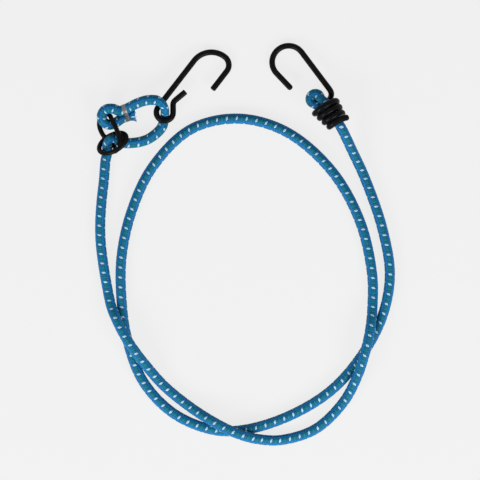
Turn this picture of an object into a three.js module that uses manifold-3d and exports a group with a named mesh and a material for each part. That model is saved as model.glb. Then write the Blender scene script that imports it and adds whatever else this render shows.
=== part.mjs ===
// Adjustable bungee cord with an S-hook, a spiral hook and a wire adjuster, lying in two laps.
// Millimetres, +Z up. The origin lies on the floor, midway between the two hooks' hardware.

import * as THREE from 'three';
import { mergeVertices } from 'three/addons/utils/BufferGeometryUtils.js';
import Module from 'manifold-3d';

const wasm = await Module();
wasm.setup();

// Cord: a braided sheath round an elastic core, resting on a narrow flat
const CORD_DIAMETER = 8;
const CORD_FLAT = 0.8;
const SHEATH_WALL = 0.9;
const CORE_CLEARANCE = 0.3;
const STRETCH_GAP = 0.3;
const CORD_SIDES = 10;
const BEND_REACH = 4;

// S-hook of round wire: eye, shank, bend, open leg and a bent-off tail
const HOOK_WIRE = 4.8;
const EYE_CLEARANCE = 1;
const EYE_SQUEEZE = 0.86;
const EYE_WRAP = 217.6;
const TAIL_RUN = 6.2;
const TAIL_BEND_RADIUS = 4.9;
const TAIL_BEND = 50;
const TAIL_LENGTH = 11;
const SHANK_LENGTH = 48.6;
const BEND_RADIUS = 17.9;
const NOSE_RADIUS = 8.4;
const OPEN_LEG = 19.4;
const S_HOOK_TURN = -37.6;
const S_HOOK_EYE = [-48.6, -8.2];
const EYE_HEIGHT = 11.3;

// Spiral hook of the same wire: hook, shank and a conical coil that grips the cord
const COIL_TURNS = 3.72;
const COIL_PITCH = 5.25;
const COIL_GRIP = 0.8;
const COIL_MOUTH = 1.8;
const COIL_START = -14;
const COIL_TAIL = 9.8;
const COIL_TAIL_BEND = 2;
const CROOK_RADIUS = 13.4;
const CROOK_WRAP = 186.5;
const CROOK_SHANK = 45.1;
const CROOK_LEG = 18.1;
const SHANK_OUT = 0.5;
const ELBOW = 13;
const ELBOW_RISE = 4;
const ELBOW_TURN = 0.3;
const SPIRAL_TURN = 36.8;
const SPIRAL_PLACE = [80.7, -1.1];
const TIP_ROUND = 0.55;

// Plug: the cord's end folded over above the coil, squeezed in the coil and fuller at its top
const FOLD_GIRTH = 0.82;
const KNOB_GIRTH = 0.88;
const TAIL_GIRTH = 0.5;
const FOLD_GAP = 0.4;

// Adjuster of thinner wire: an oval ring and a bail in one piece
const ADJUSTER_WIRE = 4;
const FLOOR_CLEARANCE = 0.1;
const RING_LENGTH = 25.8;
const RING_WIDTH = 18.6;
const RING_CENTRE = [-91, -33.2, 9.7];
const RING_LONG_AXIS = [0.864, 0.339, 0.372];
const RING_SHORT_AXIS = [0.028, -0.769, 0.638];
const HIGH_FOOT = 59;
const LOW_FOOT = 81;
const LAP_START = -28;
const LAP_INSET = 3;
const LAP_RISE = 1.4;
const LAP_STEPS = 6;
const HUMP_SQUEEZE = 0.88;

// Crimp: a band of steel strip closed round both strands of the cord's eye
const CRIMP_WIDTH = 3.6;
const CRIMP_STRIP = 1.1;
const CRIMP_CLEARANCE = 0.35;
const CRIMP_SLIT = 0.8;
const CRIMP_PINCH = 0.76;
const CRIMP_REACH = 1.8;

// Fineness of the solids
const WIRE_SIDES = 8;
const TURN_STEPS = 20;
const WIRE_STEP = 4;
const GAP_STEP = 1.6;
const CORD_SKIP = 22;
const WIRE_SKIP = 12;

const CORD_RADIUS = CORD_DIAMETER / 2;
const CORD_REST = CORD_RADIUS - CORD_FLAT;
const CORD_BORE = CORD_RADIUS - SHEATH_WALL;
const CORE_RADIUS = CORD_BORE - CORE_CLEARANCE;
const FOLD_RADIUS = CORD_RADIUS * FOLD_GIRTH;
const WIRE_RADIUS = HOOK_WIRE / 2;
const radians = THREE.MathUtils.degToRad;
const vector = (list) => new THREE.Vector3(...list);

const sheathFinish = { color: 0x1c69b0, roughness: 0.62, metalness: 0 };
const coreFinish = { color: 0xc8b48c, roughness: 0.8, metalness: 0 };
const wireFinish = { color: 0x141414, roughness: 0.38, metalness: 0 };
const steelFinish = { color: 0xb9bcc0, roughness: 0.28, metalness: 1 };

const part = new THREE.Group();

function addPiece(name, geometry, finish, place) {
  const mesh = new THREE.Mesh(geometry, new THREE.MeshStandardMaterial(finish));
  mesh.name = name;
  if (place) mesh.applyMatrix4(place);
  part.add(mesh);
}

// A round wire bent along points, with its first end drawn in to a rounded tip if asked
class Wire extends THREE.CatmullRomCurve3 {
  constructor(points, tip = 1) {
    super(points);
    this.tip = tip;
  }

  computeFrenetFrames(steps, closed) {
    const frames = super.computeFrenetFrames(steps, closed);
    frames.normals[0].multiplyScalar(this.tip);
    frames.binormals[0].multiplyScalar(this.tip);
    return frames;
  }
}

function ringOutline(radius, sides) {
  const points = [];
  for (let i = 0; i < sides; i += 1) {
    const angle = (2 * Math.PI * (i + 0.5)) / sides;
    points.push(new THREE.Vector2(radius * Math.cos(angle), radius * Math.sin(angle)));
  }
  return points;
}

function wireSolid(curve, diameter, step) {
  const steps = Math.round(curve.getLength() / step);
  const section = new THREE.Shape(ringOutline(diameter / 2, WIRE_SIDES));
  return new THREE.ExtrudeGeometry(section, { steps, extrudePath: curve, bevelEnabled: false });
}

// S-hook, drawn flat round its eye's centre: tip, open leg, bend, shank, eye and tail
function sHookCurve() {
  const eyeRadius = CORD_RADIUS * EYE_SQUEEZE + EYE_CLEARANCE + WIRE_RADIUS;
  const bendX = BEND_RADIUS - eyeRadius;
  const noseY = SHANK_LENGTH + BEND_RADIUS - NOSE_RADIUS;
  const path = new THREE.Path();
  path.moveTo(bendX + NOSE_RADIUS, noseY - OPEN_LEG);
  path.lineTo(bendX + NOSE_RADIUS, noseY);
  path.absarc(bendX, noseY, NOSE_RADIUS, 0, Math.PI / 2, false);
  path.absarc(bendX, SHANK_LENGTH, BEND_RADIUS, Math.PI / 2, Math.PI, false);
  path.lineTo(-eyeRadius, 0);
  path.absarc(0, 0, eyeRadius, Math.PI, Math.PI + radians(EYE_WRAP), false);
  const out = radians(EYE_WRAP - 180);
  const heading = new THREE.Vector2(-Math.sin(out), Math.cos(out));
  const normal = new THREE.Vector2(Math.cos(out), Math.sin(out));
  const tail = normal.clone().multiplyScalar(eyeRadius).addScaledVector(heading, TAIL_RUN);
  path.lineTo(tail.x, tail.y);
  const pivot = tail.clone().addScaledVector(normal, TAIL_BEND_RADIUS);
  const from = out + Math.PI;
  path.absarc(pivot.x, pivot.y, TAIL_BEND_RADIUS, from, from - radians(TAIL_BEND), true);
  const last = heading.clone().rotateAround(new THREE.Vector2(), -radians(TAIL_BEND));
  const bent = path.getPoint(1);
  path.lineTo(bent.x + last.x * TAIL_LENGTH, bent.y + last.y * TAIL_LENGTH);
  const count = Math.round(path.getLength() / WIRE_STEP) * 2;
  return new Wire(path.getSpacedPoints(count).map((p) => new THREE.Vector3(p.x, p.y, 0)));
}

// The S-hook leans from its eye, which sits on the cord, to its bend, which lies on the floor
const sHookLean = Math.asin((EYE_HEIGHT - WIRE_RADIUS) / (SHANK_LENGTH + BEND_RADIUS));
const sHookPlace = new THREE.Matrix4().makeRotationFromEuler(
  new THREE.Euler(-sHookLean, 0, radians(S_HOOK_TURN), 'ZYX'),
);
sHookPlace.setPosition(...S_HOOK_EYE, EYE_HEIGHT);
addPiece('s_hook', wireSolid(sHookCurve(), HOOK_WIRE, WIRE_STEP), wireFinish, sHookPlace);

// Spiral hook, drawn round its coil's axis, which is the local Y axis
const coilSmall = CORD_RADIUS + COIL_GRIP + WIRE_RADIUS;
const coilBig = 2 * FOLD_RADIUS + FOLD_GAP / 2 + COIL_MOUTH + WIRE_RADIUS;
const shankX = coilBig * Math.cos(radians(COIL_START)) + SHANK_OUT;
const shankZ = coilBig * Math.sin(radians(COIL_START));

function coilPoint(turn) {
  const angle = radians(COIL_START) - 2 * Math.PI * turn;
  const radius = THREE.MathUtils.lerp(coilBig, coilSmall, turn / COIL_TURNS);
  const rise = ELBOW_RISE * Math.max(0, 1 - turn / ELBOW_TURN) ** 2;
  return new THREE.Vector3(radius * Math.cos(angle), rise - COIL_PITCH * turn, radius * Math.sin(angle));
}

function spiralHookCurve() {
  const crookX = shankX - CROOK_RADIUS;
  const path = new THREE.Path();
  const away = radians(CROOK_WRAP);
  const lip = new THREE.Vector2(
    crookX + CROOK_RADIUS * Math.cos(away) - CROOK_LEG * Math.sin(away),
    CROOK_SHANK + CROOK_RADIUS * Math.sin(away) + CROOK_LEG * Math.cos(away),
  );
  path.moveTo(lip.x, lip.y);
  path.lineTo(crookX + CROOK_RADIUS * Math.cos(away), CROOK_SHANK + CROOK_RADIUS * Math.sin(away));
  path.absarc(crookX, CROOK_SHANK, CROOK_RADIUS, away, 0, true);
  path.lineTo(shankX, ELBOW);
  const count = Math.round(path.getLength() / WIRE_STEP);
  const points = path.getSpacedPoints(count).map((p) => new THREE.Vector3(p.x, p.y, shankZ));
  const turnPoints = TURN_STEPS / 2;
  const coilSteps = Math.round(COIL_TURNS * turnPoints);
  for (let i = 0; i <= coilSteps; i += 1) {
    points.push(coilPoint((COIL_TURNS * i) / coilSteps));
  }
  const end = coilPoint(COIL_TURNS);
  const leaving = end.clone().sub(coilPoint(COIL_TURNS - 1 / TURN_STEPS)).normalize();
  const bentOff = new THREE.Vector3(0, -COIL_TAIL_BEND, 0);
  points.push(end.clone().addScaledVector(leaving, COIL_TAIL / 2).addScaledVector(bentOff, 1 / 4));
  points.push(end.clone().addScaledVector(leaving, COIL_TAIL).add(bentOff));
  return new Wire(points, TIP_ROUND);
}

// The coil's big turn and the crook's far end both lie on the floor
const spiralHeight = coilBig + WIRE_RADIUS;
const spiralDrop = spiralHeight + shankZ - WIRE_RADIUS;
const spiralLean = Math.asin(spiralDrop / (CROOK_SHANK + CROOK_RADIUS));
const spiralPlace = new THREE.Matrix4().makeRotationFromEuler(
  new THREE.Euler(-spiralLean, 0, radians(SPIRAL_TURN), 'ZYX'),
);
spiralPlace.setPosition(...SPIRAL_PLACE, spiralHeight);
const coilStep = (2 * Math.PI * coilSmall) / TURN_STEPS;
addPiece('spiral_hook', wireSolid(spiralHookCurve(), HOOK_WIRE, coilStep), wireFinish, spiralPlace);

// Route of the cord from its cut end in the adjuster's eye to the coil: x, y and the lift of its
// centre above its place on the floor. Each stretch starts where the one before it ends.
const route = {
  eye: [
    [-72.9, -10.2, 1.2], [-75.8, -10.5, 1.4], [-79.5, -11.3, 1.7], [-83.6, -13.1, 1.9], [-88, -16, 2.8],
    [-93.2, -18.2, 4.6], [-98, -16.3, 5.8], [-100, -11.2, 6.4], [-97, -6, 7], [-90.8, -5.2, 7.4],
    [-85.6, -7, 7.4], [-81.4, -6, 7.5], [-76.9, -3.7, 8.4],
  ],
  leg_upper: [[-70.6, -0.7, 11.2], [-64.5, 1.3, 13.4], [-58.8, 1.9, 14.7]],
  bight: [
    [-54.2, 1.2, 15.7], [-50.4, -1.6, 15.2], [-48.6, -5.6, 11.8], [-48.5, -9, 6.5], [-48.9, -12.4, 2.2],
    [-49.6, -16.4, 0.9], [-51.2, -20.4, 0.8],
  ],
  leg_lower: [[-53.3, -23.1, 0.4], [-56.9, -26.4, 0], [-62.4, -30, 0], [-69.4, -32.3, 0.3], [-75.9, -33.1, 0.8]],
  slider: [
    [-80, -33.2, 1.1], [-85, -32.5, 2.9], [-89.2, -30, 6], [-92, -29.8, 7], [-94.3, -31.1, 6.7],
    [-95.6, -33.8, 4.9], [-95.6, -37.4, 2.3], [-95.8, -42.1, 0.9], [-96.9, -47, 0.8],
  ],
  run: [
    [-98.3, -63.4, 0.1], [-100.2, -80.5, 0], [-101.3, -98.5, 0], [-101, -113.2, 0], [-99.2, -129.5, 0],
    [-96.7, -145, 0],
  ],
  main: [
    [-92.2, -166.6, 2.6], [-87.9, -177.2, 7.2], [-81.5, -189.9, 9], [-73.8, -201.8, 8.7],
    [-64.2, -214.3, 5.6], [-49, -231.5, 0.4], [-27.7, -248.7, 1.8], [-9, -260.6, 7.8],
    [4.4, -267.5, 9.1], [16.4, -272.1, 8], [28.6, -274.9, 3.4], [46.5, -275.5, 0],
    [74.3, -266.6, 0], [97.2, -244.6, 0.8], [108.6, -223, 6.2], [114.1, -206.4, 9],
    [117.6, -192.8, 8.7], [119.5, -181.8, 6.6], [120.8, -167.9, 1.6], [120.6, -140.1, 0],
    [110.6, -96.8, 0], [87.4, -55.6, 0], [50.6, -24, 0], [11.4, -13.2, 0], [-26.9, -21.7, 0],
    [-58.3, -52.3, 0], [-75.5, -88.3, 0], [-83.9, -126.2, 0], [-83.7, -163.8, 0], [-79.2, -193.6, 0],
    [-66.1, -227.9, 0], [-40.8, -254.2, 0], [-8.1, -267.4, 0], [18, -266.9, 0], [53.9, -255.4, 0],
    [87.4, -234.8, 0], [112.7, -205.8, 0], [129, -174.4, 0], [135.1, -140.9, 0],
  ],
  end: [[129, -103, 0], [114.7, -61.7, 1], [104.1, -38.9, 6], [99.6, -29.3, 10.4]],
};

// The plug inside the coil, across, along and above the coil's axis: up through the coil, over in a
// loop and back in
const plug = [
  [0, -24, 0], [0.2, -18, 0], [1.1, -11, 0.4], [2.2, -4.5, 1.2], [2, 0, 1.6], [1, 3.4, 1.6],
  [1.2, 6.6, 1.3], [0.6, 8.7, 0.9], [-0.8, 10.2, 0.5], [-2.8, 10.8, 0], [-4.9, 10.2, -0.5],
  [-6.3, 8.7, -0.9], [-6.8, 6.6, -1.3], [-5.6, 3.4, -1.6], [-4.6, 0.3, -1.6], [-4.2, -2.6, -1.6],
  [-4, -6.5, -1.6],
];
const plugMouth = 3;
const plugTop = 9;
const plugReturn = 14;

function placedPlug(point) {
  return vector(point).applyMatrix4(spiralPlace);
}

// The route through all points, which never dips below its place on the floor
class CordRoute extends THREE.CatmullRomCurve3 {
  getPoint(t, target) {
    const point = super.getPoint(t, target);
    point.z = Math.max(point.z, CORD_REST);
    return point;
  }
}

const routePoints = [];
const stretchEnds = { start: 0 };
for (const [name, points] of Object.entries(route)) {
  for (const [x, y, lift] of points) routePoints.push(new THREE.Vector3(x, y, CORD_REST + lift));
  stretchEnds[name] = routePoints.length - 1;
}
for (const point of plug) routePoints.push(placedPlug(point));
stretchEnds.end += 1;
stretchEnds.fold = routePoints.length - 1;
const cordRoute = new CordRoute(routePoints);
const lastPoint = routePoints.length - 1;

const smooth = THREE.MathUtils.smoothstep;
const crimpPlaces = { low: 2, high: 11 };
const bightAt = 18.5;
const humpAt = 31;
const squeezes = [
  { at: crimpPlaces.low, girth: CRIMP_PINCH, reach: CRIMP_REACH },
  { at: crimpPlaces.high, girth: CRIMP_PINCH, reach: CRIMP_REACH },
  { at: bightAt, girth: EYE_SQUEEZE, reach: BEND_REACH },
  { at: humpAt, girth: HUMP_SQUEEZE, reach: BEND_REACH },
];

// How far the cord is squeezed at a place on its route, counted in route points
function girthAt(place) {
  const pinched = squeezes.map(({ at, girth, reach }) => {
    const away = smooth(Math.abs(place - at), reach / 2, reach);
    return THREE.MathUtils.lerp(girth, 1, away);
  });
  const inPlug = place - stretchEnds.end;
  const fromTop = smooth(Math.abs(inPlug - plugTop), BEND_REACH / 2, BEND_REACH);
  const folded = THREE.MathUtils.lerp(KNOB_GIRTH, FOLD_GIRTH, fromTop);
  const squeezed = THREE.MathUtils.lerp(1, folded, smooth(inPlug, 0, plugMouth));
  const tail = smooth(inPlug, plugReturn - 1, plug.length - 1);
  return Math.min(...pinched) * THREE.MathUtils.lerp(squeezed, TAIL_GIRTH, tail);
}

// One stretch of the route, trimmed by half a gap at each end, with its section kept upright
class Stretch extends THREE.Curve {
  constructor(from, to) {
    super();
    this.from = this.trimmed(from, from + 1);
    this.to = this.trimmed(to, to - 1);
  }

  trimmed(place, next) {
    const span = routePoints[place].distanceTo(routePoints[next]);
    return place + ((next - place) * STRETCH_GAP) / 2 / span;
  }

  placeAt(t) {
    return THREE.MathUtils.lerp(this.from, this.to, t);
  }

  getPoint(t) {
    return cordRoute.getPoint(this.placeAt(t) / lastPoint);
  }

  computeFrenetFrames(steps) {
    const frames = { tangents: [], normals: [], binormals: [] };
    for (let i = 0; i <= steps; i += 1) {
      const tangent = this.getTangentAt(i / steps);
      const side = new THREE.Vector3(tangent.y, -tangent.x, 0).normalize();
      const down = tangent.clone().cross(side);
      const girth = girthAt(this.placeAt(this.getUtoTmapping(i / steps)));
      frames.tangents.push(tangent);
      frames.normals.push(down.multiplyScalar(girth));
      frames.binormals.push(side.multiplyScalar(-girth));
    }
    return frames;
  }
}

// Section of the cord, round or with the flat it rests on, which faces down along the first axis
function cordOutline(radius, flat) {
  if (!flat) return ringOutline(radius, CORD_SIDES);
  const half = Math.acos(CORD_REST / CORD_RADIUS);
  const points = [];
  for (let i = 0; i < CORD_SIDES; i += 1) {
    const angle = half + ((2 * Math.PI - 2 * half) * i) / (CORD_SIDES - 1);
    points.push(new THREE.Vector2(radius * Math.cos(angle), radius * Math.sin(angle)));
  }
  return points;
}

function cordSolid(stretch, steps, flat, radius, bore) {
  const section = new THREE.Shape(cordOutline(radius, flat));
  if (bore) section.holes.push(new THREE.Path(cordOutline(bore, flat)));
  return new THREE.ExtrudeGeometry(section, { steps, extrudePath: stretch, bevelEnabled: false });
}

const stretches = [
  { name: 'eye', steps: 22 },
  { name: 'leg_upper', steps: 4 },
  { name: 'bight', steps: 12 },
  { name: 'leg_lower', steps: 5, flat: true },
  { name: 'slider', steps: 14 },
  { name: 'run', steps: 6, flat: true },
  { name: 'main', steps: 68, flat: true },
  { name: 'end', steps: 9, flat: true },
  { name: 'fold', steps: 24 },
];
let stretchStart = 'start';
for (const { name, steps, flat } of stretches) {
  const stretch = new Stretch(stretchEnds[stretchStart], stretchEnds[name]);
  const sheath = cordSolid(stretch, steps, flat, CORD_RADIUS, CORD_BORE);
  addPiece(`sheath_${name}`, sheath, sheathFinish);
  addPiece(`core_${name}`, cordSolid(stretch, steps, flat, CORE_RADIUS), coreFinish);
  stretchStart = name;
}

// Adjuster: the bail leaves the ring, goes over the cord and down through the cord's eye, then
// comes back under the eye and under the cord to the ring. The wire laps the ring's near end twice.
function ringPoint(degrees, inset = 0, rise = 0) {
  const angle = radians(degrees);
  const long = vector(RING_LONG_AXIS);
  const short = vector(RING_SHORT_AXIS);
  return vector(RING_CENTRE)
    .addScaledVector(long, (RING_LENGTH / 2 - inset) * Math.cos(angle))
    .addScaledVector(short, (RING_WIDTH / 2 - inset) * Math.sin(angle))
    .addScaledVector(short.clone().cross(long), rise);
}

const bailRest = ADJUSTER_WIRE / 2 + FLOOR_CLEARANCE;
const bailOver = [
  [-85.2, -32.3, 15], [-86.3, -25.8, 14.6], [-89.2, -19.1, 13.6], [-91.9, -13.6, 10.8], [-93.2, -11, 6.4],
  [-95.5, -9.7, 2.2], [-98.6, -10.6, 0.2],
];
const bailUnder = [
  [-101.4, -13.6, 0], [-102.1, -18.1, 0], [-100.7, -23.4, 0], [-97.9, -28, 0], [-94.6, -31, 0],
  [-90.9, -34.1, 0.1], [-89.2, -37.3, 1.4], [-88.8, -39.4, 5.6], [-88.7, -39.9, 10.2],
];

function solidOf(geometry) {
  const bare = geometry.clone();
  bare.deleteAttribute('normal');
  bare.deleteAttribute('uv');
  const merged = mergeVertices(bare);
  const vertProperties = new Float32Array(merged.attributes.position.array);
  const triVerts = new Uint32Array(merged.index.array);
  return new wasm.Manifold(new wasm.Mesh({ numProp: 3, vertProperties, triVerts }));
}

function geometryOf(solid) {
  const mesh = solid.getMesh();
  const geometry = new THREE.BufferGeometry();
  geometry.setAttribute('position', new THREE.Float32BufferAttribute(mesh.vertProperties, 3));
  geometry.setIndex(Array.from(mesh.triVerts));
  geometry.computeVertexNormals();
  return geometry;
}

function adjusterSolid() {
  const ringPoints = [];
  for (let i = 0; i < TURN_STEPS; i += 1) ringPoints.push(ringPoint((360 * i) / TURN_STEPS));
  const ring = new THREE.CatmullRomCurve3(ringPoints, true);
  const ringTube = new THREE.TubeGeometry(ring, TURN_STEPS, ADJUSTER_WIRE / 2, WIRE_SIDES, true);
  const bent = [...bailOver, ...bailUnder].map(([x, y, z]) => new THREE.Vector3(x, y, bailRest + z));
  const bail = new Wire([ringPoint(HIGH_FOOT), ...bent, ringPoint(LOW_FOOT)]);
  const lapPoints = [];
  for (let i = 0; i <= LAP_STEPS; i += 1) {
    const angle = THREE.MathUtils.lerp(LAP_START, HIGH_FOOT, i / LAP_STEPS);
    lapPoints.push(ringPoint(angle, LAP_INSET, LAP_RISE));
  }
  const lapTube = wireSolid(new Wire(lapPoints), ADJUSTER_WIRE, ADJUSTER_WIRE / 2);
  const bailTube = wireSolid(bail, ADJUSTER_WIRE, ADJUSTER_WIRE);
  return geometryOf(solidOf(ringTube).add(solidOf(bailTube)).add(solidOf(lapTube)));
}
addPiece('adjuster', adjusterSolid(), wireFinish);

// Crimp: strip bent round both strands, with a slit where its ends meet
function crimpSolid(spread) {
  const inner = CORD_RADIUS * CRIMP_PINCH + CRIMP_CLEARANCE;
  const outer = inner + CRIMP_STRIP;
  const band = new THREE.Shape();
  const slit = CRIMP_SLIT / 2;
  band.moveTo(slit, outer);
  band.lineTo(spread, outer);
  band.absarc(spread, 0, outer, Math.PI / 2, -Math.PI / 2, true);
  band.lineTo(-spread, -outer);
  band.absarc(-spread, 0, outer, -Math.PI / 2, Math.PI / 2, true);
  band.lineTo(-slit, outer);
  band.lineTo(-slit, inner);
  band.lineTo(-spread, inner);
  band.absarc(-spread, 0, inner, Math.PI / 2, -Math.PI / 2, false);
  band.lineTo(spread, -inner);
  band.absarc(spread, 0, inner, -Math.PI / 2, Math.PI / 2, false);
  band.lineTo(slit, inner);
  const options = { depth: CRIMP_WIDTH, bevelEnabled: false, curveSegments: TURN_STEPS / 2 };
  return new THREE.ExtrudeGeometry(band, options).translate(0, 0, -CRIMP_WIDTH / 2);
}

function strandAt(place) {
  const [before, point, after] = routePoints.slice(place - 1, place + 2);
  return { point, along: after.clone().sub(before) };
}
const lowStrand = strandAt(crimpPlaces.low);
const highStrand = strandAt(crimpPlaces.high);
const across = highStrand.point.clone().sub(lowStrand.point);
const crimpAlong = highStrand.along.sub(lowStrand.along);
const crimpSide = crimpAlong.clone().cross(across).normalize();
const crimpAxis = across.clone().cross(crimpSide).normalize();
const crimpPlace = new THREE.Matrix4().makeBasis(across.clone().normalize(), crimpSide, crimpAxis);
crimpPlace.setPosition(lowStrand.point.clone().add(highStrand.point).divideScalar(2));
addPiece('crimp', crimpSolid(across.length() / 2), steelFinish, crimpPlace);

// The least gap of a cord or wire to itself, measured between points of its curve
function leastGap(curve, radiusAt, skip) {
  const count = Math.round(curve.getLength() / GAP_STEP);
  const spots = [];
  for (let i = 0; i <= count; i += 1) {
    const t = curve.getUtoTmapping(i / count);
    spots.push({ point: curve.getPoint(t), radius: radiusAt(t), along: i * GAP_STEP });
  }
  let least = Infinity;
  for (const a of spots) {
    for (const b of spots) {
      const gap = a.point.distanceTo(b.point) - a.radius - b.radius;
      if (b.along - a.along > skip) least = Math.min(least, gap);
    }
  }
  return least.toFixed(2);
}
const cordGap = leastGap(cordRoute, (t) => CORD_RADIUS * girthAt(t * lastPoint), CORD_SKIP);
const coilGap = leastGap(spiralHookCurve(), () => WIRE_RADIUS, WIRE_SKIP);
console.log(`cord length ${cordRoute.getLength().toFixed(0)} mm`);
console.log(`least gap of the cord to itself ${cordGap} mm, of the spiral hook's wire ${coilGap} mm`);

export default part;
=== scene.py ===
import math
import random

import bpy
import numpy as np
from mathutils import Matrix


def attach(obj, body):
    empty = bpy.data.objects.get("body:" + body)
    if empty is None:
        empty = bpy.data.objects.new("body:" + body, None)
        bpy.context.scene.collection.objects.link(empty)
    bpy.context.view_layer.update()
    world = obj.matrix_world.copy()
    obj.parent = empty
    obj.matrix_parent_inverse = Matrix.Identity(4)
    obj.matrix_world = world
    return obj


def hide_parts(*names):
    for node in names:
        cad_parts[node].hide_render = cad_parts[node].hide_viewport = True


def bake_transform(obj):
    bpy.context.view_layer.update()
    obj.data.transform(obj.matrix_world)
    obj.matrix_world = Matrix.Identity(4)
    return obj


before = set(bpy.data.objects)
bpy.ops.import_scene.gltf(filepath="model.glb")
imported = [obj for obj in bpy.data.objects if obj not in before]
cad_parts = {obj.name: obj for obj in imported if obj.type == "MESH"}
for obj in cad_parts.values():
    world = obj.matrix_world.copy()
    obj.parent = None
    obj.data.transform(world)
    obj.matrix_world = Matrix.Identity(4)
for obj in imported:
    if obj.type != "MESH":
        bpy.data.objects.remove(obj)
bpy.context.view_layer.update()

# Studio: the cord lies on a sheet of pale grey paper and is seen straight down through a long lens.
# Two soft lamps stand in front, left and right, and a white room fills the shade.
VIEW_CENTRE = (0.01279, -0.11227)
VIEW_WIDTH = 0.3918
VIEW_LEVEL = 0.004
LENS = 800.0
SENSOR = 36.0
ROOM_LEVEL = 0.24
ROOM_WHITE = (0.98, 0.985, 1.0, 1)
LAMP_POWER = 28.0
LAMP_SIZE = (1.1, 0.8)
LAMP_SIDE, LAMP_FRONT, LAMP_HEIGHT = 1.15, -1.35, 1.1
LAMP_AIM = (0.0, -0.12, 0.0)
PAPER = (0.884, 0.884, 0.884, 1)
PAPER_GLOW = 0.9
PAPER_SIZE = 6.0

overhead = bpy.data.cameras.new("overhead_camera")
overhead.lens = LENS
overhead.sensor_width = SENSOR
camera = bpy.data.objects.new("overhead_camera", overhead)
camera.location = (*VIEW_CENTRE, VIEW_LEVEL + VIEW_WIDTH * LENS / SENSOR)
bpy.context.collection.objects.link(camera)
bpy.context.scene.camera = camera
bpy.context.scene.view_settings.view_transform = "Standard"


def add_softbox(name, place):
    lamp = bpy.data.lights.new(name, "AREA")
    lamp.shape = "RECTANGLE"
    lamp.size, lamp.size_y = LAMP_SIZE
    lamp.energy = LAMP_POWER
    softbox = bpy.data.objects.new(name, lamp)
    toward = np.subtract(LAMP_AIM, place)
    away = math.atan2(math.hypot(toward[0], toward[1]), -toward[2])
    softbox.rotation_euler = (away, 0, math.atan2(-toward[0], toward[1]))
    softbox.location = place
    bpy.context.collection.objects.link(softbox)


add_softbox("left_softbox", (-LAMP_SIDE, LAMP_FRONT, LAMP_HEIGHT))
add_softbox("right_softbox", (LAMP_SIDE, LAMP_FRONT, LAMP_HEIGHT))

room = bpy.data.worlds.new("white_room")
room.use_nodes = True
bpy.context.scene.world = room


def new_material(name):
    material = bpy.data.materials.new(name)
    material.use_nodes = True
    tree = material.node_tree
    return material, tree, tree.nodes["Principled BSDF"]


def add_node(tree, kind, *links, **values):
    """A node with its settings and its inputs' sources, given as (input, socket or value) pairs."""
    node = tree.nodes.new(kind)
    for name, value in values.items():
        setattr(node, name, value)
    for key, source in links:
        if hasattr(source, "is_output"):
            tree.links.new(source, node.inputs[key])
        else:
            node.inputs[key].default_value = source
    return node


def math_node(tree, operation, first, second=0.0):
    return add_node(tree, "ShaderNodeMath", (0, first), (1, second), operation=operation).outputs[0]


def shown_rays(tree):
    """1 for what the lens sees, straight or in a reflection, and 0 for what only lights the object."""
    ray = add_node(tree, "ShaderNodeLightPath")
    shown = math_node(tree, "ADD", ray.outputs["Is Camera Ray"], ray.outputs["Is Glossy Ray"])
    return math_node(tree, "ADD", shown, ray.outputs["Is Transmission Ray"])


# The room lights the shade, and shows in the paper's own tone past the paper's edge and in the gloss
tree = room.node_tree
room_light = tree.nodes["Background"]
room_light.inputs["Color"].default_value = ROOM_WHITE
room_light.inputs["Strength"].default_value = ROOM_LEVEL
backdrop = add_node(tree, "ShaderNodeBackground", ("Color", PAPER), ("Strength", 1.0))
surround = add_node(
    tree,
    "ShaderNodeMixShader",
    (0, shown_rays(tree)),
    (1, room_light.outputs[0]),
    (2, backdrop.outputs[0]),
)
tree.links.new(surround.outputs[0], tree.nodes["World Output"].inputs["Surface"])

# The paper shows as an even pale sheet, to the lens and in the wire's gloss, and keeps a faint shadow
paper, tree, shader = new_material("grey_paper")
shader.inputs["Base Color"].default_value = PAPER
shader.inputs["Roughness"].default_value = 0.9
shader.inputs["Specular IOR Level"].default_value = 0.1
tooth = add_node(tree, "ShaderNodeTexNoise", ("Scale", 900.0), ("Detail", 3.0))
grain = add_node(tree, "ShaderNodeBump", ("Strength", 0.03), ("Height", tooth.outputs["Fac"]))
tree.links.new(grain.outputs["Normal"], shader.inputs["Normal"])
sheet = add_node(tree, "ShaderNodeEmission", ("Color", PAPER), ("Strength", 1.0))
even = add_node(
    tree,
    "ShaderNodeMixShader",
    (0, math_node(tree, "MULTIPLY", shown_rays(tree), PAPER_GLOW)),
    (1, shader.outputs[0]),
    (2, sheet.outputs[0]),
)
tree.links.new(even.outputs[0], tree.nodes["Material Output"].inputs["Surface"])
bpy.ops.mesh.primitive_plane_add(size=PAPER_SIZE, location=(*VIEW_CENTRE, 0))
floor = bpy.context.object
floor.name = "paper_floor"
floor.data.materials.append(paper)

# Cord: a braided polyester sleeve over a bundle of latex strands, 8 mm thick and 1.6 m long from its
# cut end to the fold in the spiral. Half the yarns run one way and show white and teal floats, in
# four lines along the cord. The other half are blue and fill the lines between them.
MM = 0.001
CORD_RADIUS = 4.0
CORD_REST = 3.2
SLEEVE_ROOT = 4.0
SLEEVE_RELIEF = 0.26
SLEEVE_REST = SLEEVE_ROOT + SLEEVE_RELIEF
RING_STEP = 0.39
ROUTE_FINENESS = 60
AROUND = 48
FLECK_LINES = 4
FLECK_SHARE = 0.58
FLECK_LEAN = 0.3
BLUE_LEAN = 0.9
LINE_WAVE = 0.05
FLOAT_DIP = 0.18
YARN_CROWN, FLOAT_ARCH = 4, 2.5
SLEEVE_BORE = 3.2
CUT_FLARE = 0.1
FLARE_REACH = 1.2
FRAYED = 2.0
BORE_RINGS = 4

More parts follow.
